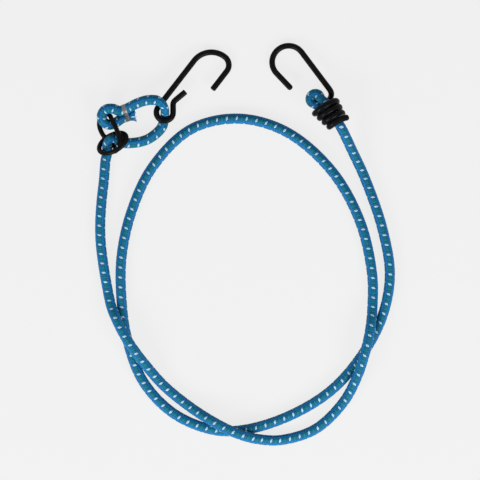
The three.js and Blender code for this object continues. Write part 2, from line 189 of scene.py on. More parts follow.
ROUTE = {
    "eye": [
        (-72.9, -10.2, 1.2), (-75.8, -10.5, 1.4), (-79.5, -11.3, 1.7), (-83.6, -13.1, 1.9), (-88, -16, 2.8),
        (-93.2, -18.2, 4.6), (-98, -16.3, 5.8), (-100, -11.2, 6.4), (-97, -6, 7), (-90.8, -5.2, 7.4),
        (-85.6, -7, 7.4), (-81.4, -6, 7.5), (-76.9, -3.7, 8.4),
    ],
    "leg_upper": [(-70.6, -0.7, 11.2), (-64.5, 1.3, 13.4), (-58.8, 1.9, 14.7)],
    "bight": [
        (-54.2, 1.2, 15.7), (-50.4, -1.6, 15.2), (-48.6, -5.6, 11.8), (-48.5, -9, 6.5), (-48.9, -12.4, 2.2),
        (-49.6, -16.4, 0.9), (-51.2, -20.4, 0.8),
    ],
    "leg_lower": [
        (-53.3, -23.1, 0.4), (-56.9, -26.4, 0), (-62.4, -30, 0), (-69.4, -32.3, 0.3), (-75.9, -33.1, 0.8),
    ],
    "slider": [
        (-80, -33.2, 1.1), (-85, -32.5, 2.9), (-89.2, -30, 6), (-92, -29.8, 7), (-94.3, -31.1, 6.7),
        (-95.6, -33.8, 4.9), (-95.6, -37.4, 2.3), (-95.8, -42.1, 0.9), (-96.9, -47, 0.8),
    ],
    "run": [
        (-98.3, -63.4, 0.1), (-100.2, -80.5, 0), (-101.3, -98.5, 0), (-101, -113.2, 0), (-99.2, -129.5, 0),
        (-96.7, -145, 0),
    ],
    "main": [
        (-92.2, -166.6, 2.6), (-87.9, -177.2, 7.2), (-81.5, -189.9, 9), (-73.8, -201.8, 8.7),
        (-64.2, -214.3, 5.6), (-49, -231.5, 0.4), (-27.7, -248.7, 1.8), (-9, -260.6, 7.8), (4.4, -267.5, 9.1),
        (16.4, -272.1, 8), (28.6, -274.9, 3.4), (46.5, -275.5, 0), (74.3, -266.6, 0), (97.2, -244.6, 0.8),
        (108.6, -223, 6.2), (114.1, -206.4, 9), (117.6, -192.8, 8.7), (119.5, -181.8, 6.6),
        (120.8, -167.9, 1.6), (120.6, -140.1, 0), (110.6, -96.8, 0), (87.4, -55.6, 0), (50.6, -24, 0),
        (11.4, -13.2, 0), (-26.9, -21.7, 0), (-58.3, -52.3, 0), (-75.5, -88.3, 0), (-83.9, -126.2, 0),
        (-83.7, -163.8, 0), (-79.2, -193.6, 0), (-66.1, -227.9, 0), (-40.8, -254.2, 0), (-8.1, -267.4, 0),
        (18, -266.9, 0), (53.9, -255.4, 0), (87.4, -234.8, 0), (112.7, -205.8, 0), (129, -174.4, 0),
        (135.1, -140.9, 0),
    ],
    "end": [(129, -103, 0), (114.7, -61.7, 1), (104.1, -38.9, 6), (99.6, -29.3, 10.4)],
}
# The plug in the coil, across, along and above the coil's axis
PLUG = [
    (0, -24, 0), (0.2, -18, 0), (1.1, -11, 0.4), (2.2, -4.5, 1.2), (2, 0, 1.6), (1, 3.4, 1.6),
    (1.2, 6.6, 1.3), (0.6, 8.7, 0.9), (-0.8, 10.2, 0.5), (-2.8, 10.8, 0), (-4.9, 10.2, -0.5),
    (-6.3, 8.7, -0.9), (-6.8, 6.6, -1.3), (-5.6, 3.4, -1.6), (-4.6, 0.3, -1.6), (-4.2, -2.6, -1.6),
    (-4, -6.5, -1.6),
]
PLUG_MOUTH, PLUG_TOP, PLUG_RETURN = 3, 9, 14
KNOB_REACH = 4
KNOB_GIRTH, FOLD_GIRTH, TAIL_GIRTH = 1.05, 0.88, 0.5
# Places along the route where the sleeve is pinched: route point, girth there and reach in points
PINCHES = [(2, 0.78, 0.5), (11, 0.78, 0.4), (18.5, 0.84, 3), (31, 0.84, 3)]
# Every fourth float is white: the white flecks' spacing in the loop and the run and on the laps, and
# how many degrees the first line of flecks has rolled to the right of the cord's top at route points
FLOATS_PER_FLECK = 4
LOOP_FLECKS = 7.7
LAP_FLECKS = 8.1
FIRST_LINE = [(0, 50), (8, 25), (27, 50), (36, 15), (46, 5), (90, 5), (92, -35), (102, -35)]

# The spiral hook's place, which the plug shares: turned on the floor and leaning to its crook
HOOK_WIRE = 2.4
COIL_BIG = 10.96
COIL_START = math.radians(-14)
SHANK_OUT = 0.5
SHANK_X = COIL_BIG * math.cos(COIL_START) + SHANK_OUT
SHANK_Z = COIL_BIG * math.sin(COIL_START)
CROOK_SHANK = 45.1
CROOK_RADIUS = 13.4
SPIRAL_PLACE = (80.7, -1.1)
SPIRAL_TURN = math.radians(36.8)
SPIRAL_HEIGHT = COIL_BIG + HOOK_WIRE
spiral_lean = math.asin((SPIRAL_HEIGHT + SHANK_Z - HOOK_WIRE) / (CROOK_SHANK + CROOK_RADIUS))
spiral_place = (
    Matrix.Translation((*SPIRAL_PLACE, SPIRAL_HEIGHT))
    @ Matrix.Rotation(SPIRAL_TURN, 4, "Z")
    @ Matrix.Rotation(-spiral_lean, 4, "X")
)


def placed(points, place):
    spots = np.asarray(points, float)
    turn = np.array(place.to_3x3())
    return spots @ turn.T + np.array(place.translation)


def bent_through(points, per_span, closed=False):
    """A smooth line through points, with the span that each of its samples lies in."""
    spots = np.asarray(points, float)
    count = len(spots)
    line, spans = [], []
    steps = np.linspace(0, 1, per_span, endpoint=False)
    for i in range(count if closed else count - 1):
        b, c = spots[i], spots[(i + 1) % count]
        a = spots[i - 1] if i or closed else 2 * b - c
        d = spots[(i + 2) % count] if i + 2 < count or closed else 2 * c - b
        ab, bc, cd = (math.sqrt(np.linalg.norm(q - p)) for p, q in ((a, b), (b, c), (c, d)))
        leave = ((b - a) / ab - (c - a) / (ab + bc) + (c - b) / bc) * bc
        arrive = ((c - b) / bc - (d - b) / (bc + cd) + (d - c) / cd) * bc
        t = steps[:, None]
        line.append(
            b + leave * t + (3 * (c - b) - 2 * leave - arrive) * t**2 + (2 * (b - c) + leave + arrive) * t**3
        )
        spans.append(i + steps)
    if not closed:
        line.append(spots[-1:])
        spans.append([count - 1.0])
    return np.concatenate(line), np.concatenate(spans)


def lengths_along(line):
    return np.concatenate([[0], np.cumsum(np.linalg.norm(np.diff(line, axis=0), axis=1))])


def smoothstep(x, low, high):
    t = np.clip((x - low) / (high - low), 0, 1)
    return t * t * (3 - 2 * t)


# The whole route is drawn once, so that the stretches share their end rings and their braid. On the
# laps the lifts count from the full radius, so that the round sleeve clears itself at the crossings.
route_points, stretch_ends = [], {}
for stretch, points in ROUTE.items():
    ground = CORD_RADIUS if stretch == "main" else CORD_REST
    route_points += [(x, y, ground + lift) for x, y, lift in points]
    stretch_ends[stretch] = len(route_points) - 1
stretch_ends["end"] += 1
plug_start = stretch_ends["end"]
route_points += [tuple(p) for p in placed(PLUG, spiral_place)]
stretch_ends["fold"] = len(route_points) - 1

route_line, route_spans = bent_through(route_points, ROUTE_FINENESS)
route_line[:, 2] = np.maximum(route_line[:, 2], SLEEVE_REST)
route_along = lengths_along(route_line)
cord_length = route_along[-1]
ring_along = np.linspace(0, cord_length, int(round(cord_length / RING_STEP)) + 1)
cord_line = np.stack([np.interp(ring_along, route_along, route_line[:, k]) for k in range(3)], 1)
cord_spans = np.interp(ring_along, route_along, route_spans)
cord_heading = np.gradient(cord_line, axis=0)
cord_heading /= np.linalg.norm(cord_heading, axis=1)[:, None]

cord_girth = np.ones(len(ring_along))
for pinch, girth, reach in PINCHES:
    away = smoothstep(np.abs(cord_spans - pinch), reach / 2, reach)
    cord_girth = np.minimum(cord_girth, girth + (1 - girth) * away)
cord_girth *= 1 + CUT_FLARE * (1 - smoothstep(cord_spans, 0, FLARE_REACH))
in_plug = cord_spans - plug_start
from_knob = smoothstep(np.abs(in_plug - PLUG_TOP), KNOB_REACH / 2, KNOB_REACH)
folded = KNOB_GIRTH + (FOLD_GIRTH - KNOB_GIRTH) * from_knob
squeezed = 1 + (folded - 1) * smoothstep(in_plug, 0, PLUG_MOUTH)
tail = smoothstep(in_plug, PLUG_RETURN - 1, len(PLUG) - 1)
cord_girth *= squeezed + (TAIL_GIRTH - squeezed) * tail
fleck_spacing = np.where(cord_spans < stretch_ends["run"], LOOP_FLECKS, LAP_FLECKS)
cord_floats = np.cumsum(np.diff(ring_along, prepend=0) / fleck_spacing) * FLOATS_PER_FLECK
roll_spans, roll_degrees = np.array(FIRST_LINE).T
cord_roll = np.radians(np.interp(cord_spans, roll_spans, roll_degrees))


def braid_relief(floats, turns):
    """Height of the sleeve's yarns, 0 to 1, at places counted in floats along and fleck lines around."""
    turns = turns + LINE_WAVE * np.sin(2 * np.pi * floats)
    fleck_line = np.floor(turns)
    in_line = turns - fleck_line
    is_blue = in_line > FLECK_SHARE
    half = np.where(is_blue, 1 - FLECK_SHARE, FLECK_SHARE) / 2
    from_middle = in_line - np.where(is_blue, FLECK_SHARE, 0) - half
    fleck_lean = fleck_line + FLECK_LEAN * from_middle
    blue_lean = -fleck_line - BLUE_LEAN * from_middle
    in_yarn = (floats + np.where(is_blue, blue_lean, fleck_lean) + 0.5) % 1
    bundle = 1 - (2 * in_yarn - 1) ** YARN_CROWN
    ends = 1 - (2 * ((2 * in_yarn) % 1) - 1) ** 2
    arch = 1 - np.abs(from_middle / half) ** FLOAT_ARCH
    return bundle * arch * (1 - FLOAT_DIP * (1 - ends))


def new_mesh_piece(name, spots, faces, material):
    """A mesh piece from places in millimetres."""
    mesh = bpy.data.meshes.new(name)
    mesh.from_pydata(np.asarray(spots) * MM, [], faces)
    mesh.polygons.foreach_set("use_smooth", [True] * len(mesh.polygons))
    mesh.materials.append(material)
    mesh.update()
    piece = bpy.data.objects.new(name, mesh)
    bpy.context.collection.objects.link(piece)
    return piece


def mark_braid(piece, weave):
    braid = piece.data.attributes.new("braid", "FLOAT_VECTOR", "CORNER")
    braid.data.foreach_set("vector", np.pad(weave, ((0, 0), (0, 1))).astype(np.float32).ravel())


def sleeve_piece(name, first, last, material, cut=False):
    """The braided sleeve between two rings of the route, with its yarns raised. A cut end is left open,
    with the sleeve's wall showing round a shallow bore."""
    rows = np.arange(first, last + 1)
    if cut:
        rows = np.concatenate([[first + BORE_RINGS, first], rows])
    heading = cord_heading[rows]
    side = np.cross(heading, (0, 0, 1))
    side /= np.linalg.norm(side, axis=1)[:, None]
    top = np.cross(side, heading)
    angle = 2 * np.pi * np.arange(AROUND) / AROUND
    floats = np.repeat(cord_floats[rows][:, None], AROUND, 1)
    turns = (angle[None] - cord_roll[rows][:, None]) / (2 * np.pi) * FLECK_LINES
    turns += FLECK_SHARE / 2 + 2 * FLECK_LINES
    radius = (SLEEVE_ROOT + SLEEVE_RELIEF * braid_relief(floats, turns)) * cord_girth[rows][:, None]
    if cut:
        radius[:2] = SLEEVE_BORE
    out = top[:, None] * np.cos(angle)[None, :, None] + side[:, None] * np.sin(angle)[None, :, None]
    spots = (cord_line[rows][:, None] + radius[..., None] * out).reshape(-1, 3)
    count = len(rows)
    i, j = np.meshgrid(np.arange(count - 1), np.arange(AROUND), indexing="ij")
    k = (j + 1) % AROUND
    quads = np.stack([i * AROUND + j, i * AROUND + k, (i + 1) * AROUND + k, (i + 1) * AROUND + j], -1)
    quads = quads.reshape(-1, 4).tolist()
    caps = [list(range(AROUND))[::-1], list(range((count - 1) * AROUND, count * AROUND))]
    piece = new_mesh_piece(name, spots, quads + caps, material)
    # Braid coordinates per face corner: floats along the cord and fleck lines around it
    span = turns[:, :1] + np.arange(AROUND + 1)[None] * FLECK_LINES / AROUND
    corners = [(i, j), (i, j + 1), (i + 1, j + 1), (i + 1, j)]
    weave = np.stack([np.stack([floats[p, 0], span[p, q]], -1) for p, q in corners], 2).reshape(-1, 2)
    mark_braid(piece, np.concatenate([weave, np.zeros((2 * AROUND, 2))]))
    return piece


def linear(red, green, blue):
    """A colour given in 0 to 255 as seen, in the shader's own scale."""
    seen = np.array([red, green, blue]) / 255
    return (*np.where(seen > 0.04045, ((seen + 0.055) / 1.055) ** 2.4, seen / 12.92), 1)


WHITE_YARN = linear(184, 222, 240)
TEAL_YARN = linear(6, 120, 130)
DEEP_TEAL_YARN = linear(8, 104, 138)
BLUE_YARN = linear(12, 114, 180)
STREAKS_ALONG, STREAKS_AROUND = 9.0, 3.2
CROWN_EDGE, CROWN_GROOVE = 0.4, 0.24
# Painted shade: the yarns darken towards their edges and float ends and in the grooves between strands;
# streaks and yarn batches add tone that differs at random
YARN_SHADE, FLOAT_SHADE = 0.16, 0.12
GROOVE_PAINTED_SHADE, STREAK_DEPTH, BATCH_SPREAD = 0.3, 0.5, 0.16

sleeve, tree, shader = new_material("braided_sleeve")


def blend_colours(tree, share, first, second):
    node = add_node(tree, "ShaderNodeMix", ("Factor", share), data_type="RGBA")
    for socket, source in ((node.inputs[6], first), (node.inputs[7], second)):
        if hasattr(source, "is_output"):
            tree.links.new(source, socket)
        else:
            socket.default_value = source
    return node.outputs[2]


def blend_values(tree, share, first, second):
    return add_node(tree, "ShaderNodeMix", ("Factor", share), (2, first), (3, second)).outputs[0]


braid = add_node(tree, "ShaderNodeAttribute", attribute_name="braid")
parts = add_node(tree, "ShaderNodeSeparateXYZ", ("Vector", braid.outputs["Vector"]))
floats = parts.outputs["X"]
wave = math_node(tree, "SINE", math_node(tree, "MULTIPLY", floats, 2 * math.pi))
turned = math_node(tree, "ADD", parts.outputs["Y"], math_node(tree, "MULTIPLY", wave, LINE_WAVE))
line_count = math_node(tree, "FLOOR", turned)
in_line = math_node(tree, "FRACT", turned)
is_blue = math_node(tree, "GREATER_THAN", in_line, FLECK_SHARE)
from_fleck = math_node(tree, "SUBTRACT", in_line, FLECK_SHARE / 2)
from_blue = math_node(tree, "SUBTRACT", in_line, (1 + FLECK_SHARE) / 2)
fleck_yarn = math_node(tree, "ADD", line_count, math_node(tree, "MULTIPLY", from_fleck, FLECK_LEAN))
blue_yarn = math_node(tree, "ADD", line_count, math_node(tree, "MULTIPLY", from_blue, BLUE_LEAN))
blue_yarn = math_node(tree, "SUBTRACT", 0.0, blue_yarn)
yarn = math_node(tree, "ADD", floats, blend_values(tree, is_blue, fleck_yarn, blue_yarn))
yarn = math_node(tree, "ADD", yarn, 0.5)
yarn_count = math_node(tree, "FLOOR", yarn)
in_yarn = math_node(tree, "FRACT", yarn)
in_float = blend_values(
    tree,
    is_blue,
    math_node(tree, "DIVIDE", in_line, FLECK_SHARE),
    math_node(tree, "DIVIDE", math_node(tree, "SUBTRACT", in_line, FLECK_SHARE), 1 - FLECK_SHARE),
)
turn_of_four = math_node(tree, "FLOORED_MODULO", yarn_count, FLOATS_PER_FLECK)
from_teal = math_node(tree, "ABSOLUTE", math_node(tree, "SUBTRACT", turn_of_four, 2.0))
teal = blend_colours(tree, from_teal, TEAL_YARN, DEEP_TEAL_YARN)
streak_place = add_node(
    tree,
    "ShaderNodeCombineXYZ",
    ("X", math_node(tree, "MULTIPLY", yarn, STREAKS_ALONG)),
    ("Y", math_node(tree, "MULTIPLY", turned, STREAKS_AROUND)),
)
streaks = add_node(
    tree, "ShaderNodeTexNoise", ("Vector", streak_place.outputs[0]), ("Scale", 1.0), ("Detail", 3.0)
)
batch_place = add_node(tree, "ShaderNodeCombineXYZ", ("X", yarn_count), ("Y", line_count), ("Z", is_blue))
batch = add_node(tree, "ShaderNodeTexWhiteNoise", ("Vector", batch_place.outputs[0]))
strand_wave = math_node(tree, "SINE", math_node(tree, "MULTIPLY", in_yarn, 2 * math.pi))
grooves = math_node(tree, "ABSOLUTE", strand_wave)
yarn_edge = math_node(tree, "SINE", math_node(tree, "MULTIPLY", in_yarn, math.pi))
float_edge = math_node(tree, "SINE", math_node(tree, "MULTIPLY", in_float, math.pi))
is_white = math_node(tree, "LESS_THAN", turn_of_four, 0.5)
from_edge = math_node(tree, "MINIMUM", yarn_edge, float_edge)
on_crown = math_node(
    tree,
    "MULTIPLY",
    math_node(tree, "GREATER_THAN", from_edge, CROWN_EDGE),
    math_node(tree, "GREATER_THAN", grooves, CROWN_GROOVE),
)
marked = blend_colours(tree, math_node(tree, "MULTIPLY", is_white, on_crown), teal, WHITE_YARN)
dyed = blend_colours(tree, is_blue, marked, BLUE_YARN)
# Painted shade darkens each yarn towards its edges, at the float ends and in the grooves between its strands;
# the streak and batch noise add tone that differs at random
painted_shade_and_tone = math_node(
    tree,
    "MULTIPLY",
    math_node(tree, "POWER", yarn_edge, YARN_SHADE),
    math_node(tree, "POWER", float_edge, FLOAT_SHADE),
)
for source, share in (
    (grooves, GROOVE_PAINTED_SHADE),
    (streaks.outputs["Fac"], STREAK_DEPTH),
    (batch.outputs["Value"], BATCH_SPREAD),
):
    varied = math_node(tree, "ADD", math_node(tree, "MULTIPLY", source, share), 1 - share / 2)
    painted_shade_and_tone = math_node(tree, "MULTIPLY", painted_shade_and_tone, varied)
shade_and_tone_factor = add_node(tree, "ShaderNodeCombineXYZ", ("X", painted_shade_and_tone), ("Y", painted_shade_and_tone), ("Z", painted_shade_and_tone))
coloured = add_node(
    tree, "ShaderNodeVectorMath", (0, dyed), (1, shade_and_tone_factor.outputs[0]), operation="MULTIPLY"
)
tree.links.new(coloured.outputs[0], shader.inputs["Base Color"])
fuzz = math_node(tree, "ADD", math_node(tree, "MULTIPLY", streaks.outputs["Fac"], 0.25), 0.5)
tree.links.new(fuzz, shader.inputs["Roughness"])
fibres = add_node(
    tree, "ShaderNodeBump", ("Strength", 0.5), ("Distance", 0.0002), ("Height", streaks.outputs["Fac"])
)
tree.links.new(fibres.outputs["Normal"], shader.inputs["Normal"])
shader.inputs["Specular IOR Level"].default_value = 0.2
shader.inputs["Sheen Weight"].default_value = 0.03
shader.inputs["Sheen Roughness"].default_value = 0.4

ring_at = {name: int(np.argmin(np.abs(cord_spans - end))) for name, end in stretch_ends.items()}
cord_pieces = {}
# Over the last stretch of the cut end the sleeve has come apart into loose yarns
cut_ring = round(FRAYED / RING_STEP)
first_ring = cut_ring
for stretch, last_ring in ring_at.items():
    piece = sleeve_piece("sleeve_" + stretch, first_ring, last_ring, sleeve, cut=stretch == "eye")
    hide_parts("sheath_" + stretch, *([] if stretch == "eye" else ["core_" + stretch]))
    cord_pieces[stretch] = piece
    first_ring = last_ring


held_by = {"eye": "adjuster", "slider": "adjuster", "bight": "cord", "main": "cord", "fold": "spiral"}
for stretch, body in held_by.items():
    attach(cord_pieces[stretch], body)
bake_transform(cord_pieces["leg_upper"])
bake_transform(cord_pieces["leg_lower"])
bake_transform(cord_pieces["run"])
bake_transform(cord_pieces["end"])

# Cut end: beyond the crimp the cord is cut off, its latex strands show in the sleeve's bore, and
# the braid's yarns have come loose and fan out to ragged tips.
STRAND = 0.42
STRAND_PITCH = 0.9
STRAND_DEPTH = 2.0
STRAND_ROWS = 3
STRAND_SIDES = 10
STRAND_INSET = (0.2, 0.7)
STRAND_EDGE = 0.08
STRAND_TIP = 0.85
YARN_ENDS = 64
YARN_THICK = 0.46
YARN_TAPER = 0.6
YARN_OUT = 0.1
YARN_HELD = 0.5
YARN_RINGS, YARN_SIDES = 8, 6
YARN_REACH = (0.8, 3.0)
YARN_FLARE = (-0.5, 0.35)
YARN_SWAY = 0.7
YARN_CURL = 1.6
YARN_JITTER = 0.4
FLECK_YARNS = 0.3
DYE_AND_SHADE_PLACE = (0.2, 0.4)
DROOP = np.array([0, -0.25, 0])
LATEX = linear(206, 188, 150)
LATEX_CUT = linear(226, 214, 184)

shuffle = random.Random(7)
cut_middle, into_cord = cord_line[cut_ring], cord_heading[cut_ring]
cut_side = np.cross(into_cord, (0, 0, 1))
cut_side /= np.linalg.norm(cut_side)
cut_top = np.cross(cut_side, into_cord)
# A direction across the cut that no yarn lies along, from which the rods' rings are turned
across_cut = cut_side + 0.37 * cut_top


def tapered_rod(line, radii, sides):
    """Rings of a thin rod along a line that runs more or less along the cord."""
    heading = np.gradient(line, axis=0)
    heading /= np.linalg.norm(heading, axis=1)[:, None]
    up = np.cross(heading, across_cut)
    up /= np.linalg.norm(up, axis=1)[:, None]
    beside = np.cross(heading, up)
    angle = 2 * np.pi * np.arange(sides) / sides
    ring = up[:, None] * np.cos(angle)[None, :, None] + beside[:, None] * np.sin(angle)[None, :, None]
    return line[:, None] + np.asarray(radii)[:, None, None] * ring


def ring_faces(count, sides, closed=False, first=0):
    faces = []
    for i in range(count if closed else count - 1):
        a, b = first + i * sides, first + (i + 1) % count * sides
        for j in range(sides):
            k = (j + 1) % sides
            faces.append((a + j, a + k, b + k, b + j))
    if not closed:
        faces.append(tuple(range(first + sides - 1, first - 1, -1)))
        faces.append(tuple(range(first + (count - 1) * sides, first + count * sides)))
    return faces


latex, tree, shader = new_material("latex_rubber")
coords = add_node(tree, "ShaderNodeTexCoord")
bloom = add_node(
    tree, "ShaderNodeTexNoise", ("Vector", coords.outputs["Object"]), ("Scale", 1800.0), ("Detail", 3.0)
)
tree.links.new(blend_colours(tree, bloom.outputs["Fac"], LATEX, LATEX_CUT), shader.inputs["Base Color"])
skin = add_node(
    tree, "ShaderNodeBump", ("Strength", 0.3), ("Distance", 0.0001), ("Height", bloom.outputs["Fac"])
)
tree.links.new(skin.outputs["Normal"], shader.inputs["Normal"])
shader.inputs["Roughness"].default_value = 0.75

spots, faces = [], []
for row in range(-STRAND_ROWS, STRAND_ROWS + 1):
    for column in range(-STRAND_ROWS, STRAND_ROWS + 1):
        x = STRAND_PITCH * (column + row / 2)
        y = STRAND_PITCH * row * math.sqrt(3) / 2
        if math.hypot(x, y) > SLEEVE_BORE - STRAND:
            continue
        start = cut_middle + cut_side * x + cut_top * y + into_cord * shuffle.uniform(*STRAND_INSET)
        strand = np.array([start, start + into_cord * STRAND_EDGE, start + into_cord * STRAND_DEPTH])
        radii = (STRAND * STRAND_TIP, STRAND, STRAND)
        faces += ring_faces(len(strand), STRAND_SIDES, first=len(spots))
        spots += list(tapered_rod(strand, radii, STRAND_SIDES).reshape(-1, 3))
strands = new_mesh_piece("latex_strands", spots, faces, latex)
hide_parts("core_eye")
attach(strands, "adjuster")

# A loose yarn is dyed as one float of the braid: its line picks fleck or blue, its float the colour, and its
# place across the yarn sets how much painted edge shade it shows
spots, faces, weave = [], [], []
for count in range(YARN_ENDS):
    turn = 2 * math.pi * (count + shuffle.uniform(-YARN_JITTER, YARN_JITTER)) / YARN_ENDS
    out = cut_top * math.cos(turn) + cut_side * math.sin(turn)
    around = cut_side * math.cos(turn) - cut_top * math.sin(turn)
    reach = shuffle.uniform(*YARN_REACH)
    flare = shuffle.uniform(*YARN_FLARE)
    sway = shuffle.uniform(-YARN_SWAY, YARN_SWAY)
    share = np.linspace(-YARN_HELD, 1, YARN_RINGS)[:, None]
    ahead = np.maximum(share, 0)
    curl = cut_middle + out * (SLEEVE_ROOT + YARN_OUT) - into_cord * reach * share
    curl = curl + (out * flare + around * sway + DROOP) * reach * ahead**YARN_CURL
    curl[:, 2] = np.maximum(curl[:, 2], YARN_THICK)
    radii = YARN_THICK * (1 - YARN_TAPER * ahead[:, 0] ** 2)
    faces += ring_faces(YARN_RINGS, YARN_SIDES, first=len(spots))
    spots += list(tapered_rod(curl, radii, YARN_SIDES).reshape(-1, 3))
    fleck_line = math.floor(turn / (2 * math.pi) * FLECK_LINES + 2 * FLECK_LINES)
    is_fleck = shuffle.random() < FLECK_YARNS
    tone = fleck_line + (FLECK_SHARE if is_fleck else 1 + FLECK_SHARE) / 2
    dye = shuffle.randrange(FLOATS_PER_FLECK) - (fleck_line if is_fleck else -fleck_line)
    # The place across the yarn's profile sets the painted edge shade on this loose yarn
    dye -= shuffle.uniform(*DYE_AND_SHADE_PLACE)
    corners = 4 * (YARN_RINGS - 1) * YARN_SIDES + 2 * YARN_SIDES
    weave += [(dye, tone)] * corners
loose_yarns = new_mesh_piece("loose_yarn_ends", spots, faces, sleeve)
mark_braid(loose_yarns, np.array(weave))
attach(loose_yarns, "adjuster")

# S-hook: one length of 4.8 mm wire with a black dipped coating, its tip eased and its tail cut
# square. Its eye is open, and hangs loose in the cord's bight.
EYE_SQUEEZE = 0.86
EYE_CLEARANCE = 1.0
EYE_RADIUS = CORD_RADIUS * EYE_SQUEEZE + EYE_CLEARANCE + HOOK_WIRE
SHANK = 48.6
BEND = 17.9
NOSE = 8.4
OPEN_LEG = 19.4
EYE_WRAP = math.radians(217.6)
TAIL_RUN = 6.2
TAIL_RADIUS = 4.9
TAIL_BEND = math.radians(50)
TAIL_LENGTH = 11.0
EYE_HEIGHT = 11.3
S_HOOK_EYE = (-48.6, -8.2)
S_HOOK_TURN = math.radians(-37.6)
WIRE_SIDES = 32
WIRE_STEP = 0.8
ARC_STEP = 0.06
END_STEP = 0.3
END_PLACES = [0, 0.02, 0.06, 0.12, 0.2]
# A direction that no wire starts along, from which its rings are turned
OFF_WIRE = (0.3, 0.2, 0.93)


def arc(centre, radius, first, last, step=ARC_STEP):
    count = max(2, int(abs(last - first) / step))
    turn = np.linspace(first, last, count + 1)
    return [(centre[0] + radius * math.cos(t), centre[1] + radius * math.sin(t)) for t in turn]


def evenly(line, step):
    along = lengths_along(line)
    count = max(2, int(round(along[-1] / step)))
    spots = np.linspace(0, along[-1], count + 1)
    return np.stack([np.interp(spots, along, line[:, k]) for k in range(line.shape[1])], 1)


# How far a wire's end is rounded over, as a share of the wire's radius
END_ROUNDING = {"square": 0.16, "eased": 0.5, "round": 0.88}


def wire_rings(line, radius, sides, closed=False, start="square", finish="square"):
    """Rings of a round wire along a line, with its ends cut square, eased or rounded over."""
    heading = np.gradient(line, axis=0)
    if closed:
        heading = np.roll(line, -1, 0) - np.roll(line, 1, 0)
    heading /= np.linalg.norm(heading, axis=1)[:, None]
    up = np.cross(heading[0], OFF_WIRE)
    up /= np.linalg.norm(up)
    angle = 2 * np.pi * np.arange(sides) / sides
    along = lengths_along(line)
    girth = np.full(len(line), radius)
    for end, away in ((start, along), (finish, along[-1] - along)):
        if closed:
            break
        depth = END_ROUNDING[end]
        t = np.clip(away / (depth * radius), 0, 1)
        girth = np.minimum(girth, radius * (1 - depth * (1 - np.sqrt(1 - (1 - t) ** 2))))
    rings = []
    for spot, ahead, wide in zip(line, heading, girth):
        up = up - ahead * np.dot(up, ahead)
        up /= np.linalg.norm(up)
        across = np.cross(ahead, up)
        rings.append(spot + wide * (np.cos(angle)[:, None] * up + np.sin(angle)[:, None] * across))
    return np.array(rings)


def wire_line(line, step, radius):
    """Places along a wire, closer together at its ends, where it is rounded over."""
    along = lengths_along(line)
    close = np.concatenate([END_PLACES, np.arange(END_STEP, radius + 0.1, END_STEP)])
    middle = np.linspace(close[-1], along[-1] - close[-1], int((along[-1] - 2 * close[-1]) / step) + 2)
    spots = np.unique(np.concatenate([close, middle, along[-1] - close]))
    return np.stack([np.interp(spots, along, line[:, k]) for k in range(3)], 1)


COATING_BLACK = (0.002, 0.002, 0.0022, 1)
COATING_WORN = (0.007, 0.007, 0.0075, 1)

coating, tree, shader = new_material("black_wire_coating")
coords = add_node(tree, "ShaderNodeTexCoord")
mottle = add_node(
    tree, "ShaderNodeTexNoise", ("Vector", coords.outputs["Object"]), ("Scale", 260.0), ("Detail", 4.0)
)
scuffs = add_node(
    tree, "ShaderNodeTexNoise", ("Vector", coords.outputs["Object"]), ("Scale", 1100.0), ("Detail", 2.0)
)
rubbed = add_node(
    tree, "ShaderNodeMapRange", ("Value", mottle.outputs["Fac"]), ("From Min", 0.55), ("From Max", 0.8)
)
black = blend_colours(tree, rubbed.outputs[0], COATING_BLACK, COATING_WORN)
tree.links.new(black, shader.inputs["Base Color"])
gloss = add_node(
    tree,
    "ShaderNodeMapRange",
    ("Value", mottle.outputs["Fac"]),
    ("From Min", 0.3),
    ("From Max", 0.75),
    ("To Min", 0.24),
    ("To Max", 0.38),
)
tree.links.new(gloss.outputs[0], shader.inputs["Roughness"])
skin = add_node(
    tree, "ShaderNodeBump", ("Strength", 0.12), ("Distance", 0.0003), ("Height", scuffs.outputs["Fac"])
)
tree.links.new(skin.outputs["Normal"], shader.inputs["Normal"])
shader.inputs["Specular IOR Level"].default_value = 0.075

bend_x = BEND - EYE_RADIUS
nose_y = SHANK + BEND - NOSE
out = EYE_WRAP - math.pi
ahead = np.array([-math.sin(out), math.cos(out)])
beside = np.array([math.cos(out), math.sin(out)])
tail_end = beside * EYE_RADIUS + ahead * TAIL_RUN
pivot = tail_end + beside * TAIL_RADIUS
outline = [(bend_x + NOSE, nose_y - OPEN_LEG)]
outline += arc((bend_x, nose_y), NOSE, 0, math.pi / 2)
outline += arc((bend_x, SHANK), BEND, math.pi / 2, math.pi)[1:]
outline += arc((0, 0), EYE_RADIUS, math.pi, math.pi + EYE_WRAP)
outline += arc(pivot, TAIL_RADIUS, out + math.pi, out + math.pi - TAIL_BEND)
last = np.array(outline[-1])
turned_out = np.array(
    [
        ahead[0] * math.cos(TAIL_BEND) + ahead[1] * math.sin(TAIL_BEND),
        -ahead[0] * math.sin(TAIL_BEND) + ahead[1] * math.cos(TAIL_BEND),
    ]
)
outline.append(tuple(last + turned_out * TAIL_LENGTH))
s_hook_lean = math.asin((EYE_HEIGHT - HOOK_WIRE) / (SHANK + BEND))
s_hook_place = (
    Matrix.Translation((*S_HOOK_EYE, EYE_HEIGHT))
    @ Matrix.Rotation(S_HOOK_TURN, 4, "Z")
    @ Matrix.Rotation(-s_hook_lean, 4, "X")
)
flat_line = wire_line(np.array([(x, y, 0) for x, y in outline]), WIRE_STEP, HOOK_WIRE)
hook_line = placed(flat_line, s_hook_place)
rings = wire_rings(hook_line, HOOK_WIRE, WIRE_SIDES, start="eased")
s_hook = new_mesh_piece(
    "coated_s_hook", rings.reshape(-1, 3), ring_faces(len(rings), WIRE_SIDES), coating
)
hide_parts("s_hook")
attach(s_hook, "s_hook")

